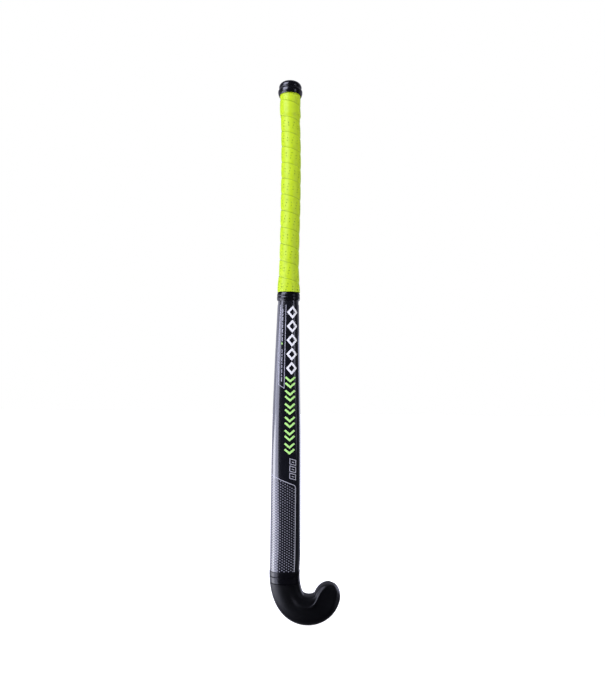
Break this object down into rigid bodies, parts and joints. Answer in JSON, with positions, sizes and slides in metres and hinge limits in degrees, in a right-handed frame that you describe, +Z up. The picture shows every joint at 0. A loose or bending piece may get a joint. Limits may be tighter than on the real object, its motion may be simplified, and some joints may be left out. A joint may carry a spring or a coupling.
{
  "type": "field hockey stick",
  "caption": "Straight tapering hockey stick with a tight J-shaped hook, flat playing face, rounded back, wound perforated grip, end cap and halftone shaft panel.",
  "frame": {"origin": "under the middle of the stick's box, level with the lowest point of the hook", "axes": "+Z runs up the shaft to the cap, +X points to the side of the toe, +Y is the way the flat playing face looks, and the rounded back looks towards -Y"},
  "size_m": [0.1208, 0.0518, 0.914],
  "materials": {
    "cap_plastic": "glossy moulded black",
    "grip_foam": "satin perforated polyurethane, lime",
    "collar_tape": "glossy black finishing tape",
    "printed_film": "glossy black film with pale dots and marks",
    "glass_fibre": "glossy black resin over glass fibre",
    "ring_gloss": "glossy black",
    "head_matte": "matte black resin over glass fibre",
    "handle_cane": "raw cane",
    "spring_rubber": "black sheet rubber",
    "head_mulberry": "raw laminated mulberry"
  },
  "bodies": {
    "root": {"end_cap": "cap_plastic", "grip_wrap": "grip_foam", "grip_collar": "collar_tape", "shaft_film": "printed_film", "shaft_sleeve": "glass_fibre", "upper_ring": "ring_gloss", "lower_ring": "ring_gloss", "head_overwrap": "head_matte", "handle_ply_1": "handle_cane", "handle_ply_2": "handle_cane", "handle_ply_3": "handle_cane", "handle_ply_4": "handle_cane", "rubber_spring_1": "spring_rubber", "rubber_spring_2": "spring_rubber", "rubber_spring_3": "spring_rubber", "head_ply_1": "head_mulberry", "head_ply_2": "head_mulberry", "head_ply_3": "head_mulberry", "head_ply_4": "head_mulberry", "head_ply_5": "head_mulberry", "head_ply_6": "head_mulberry"}
  },
  "joints": []
}
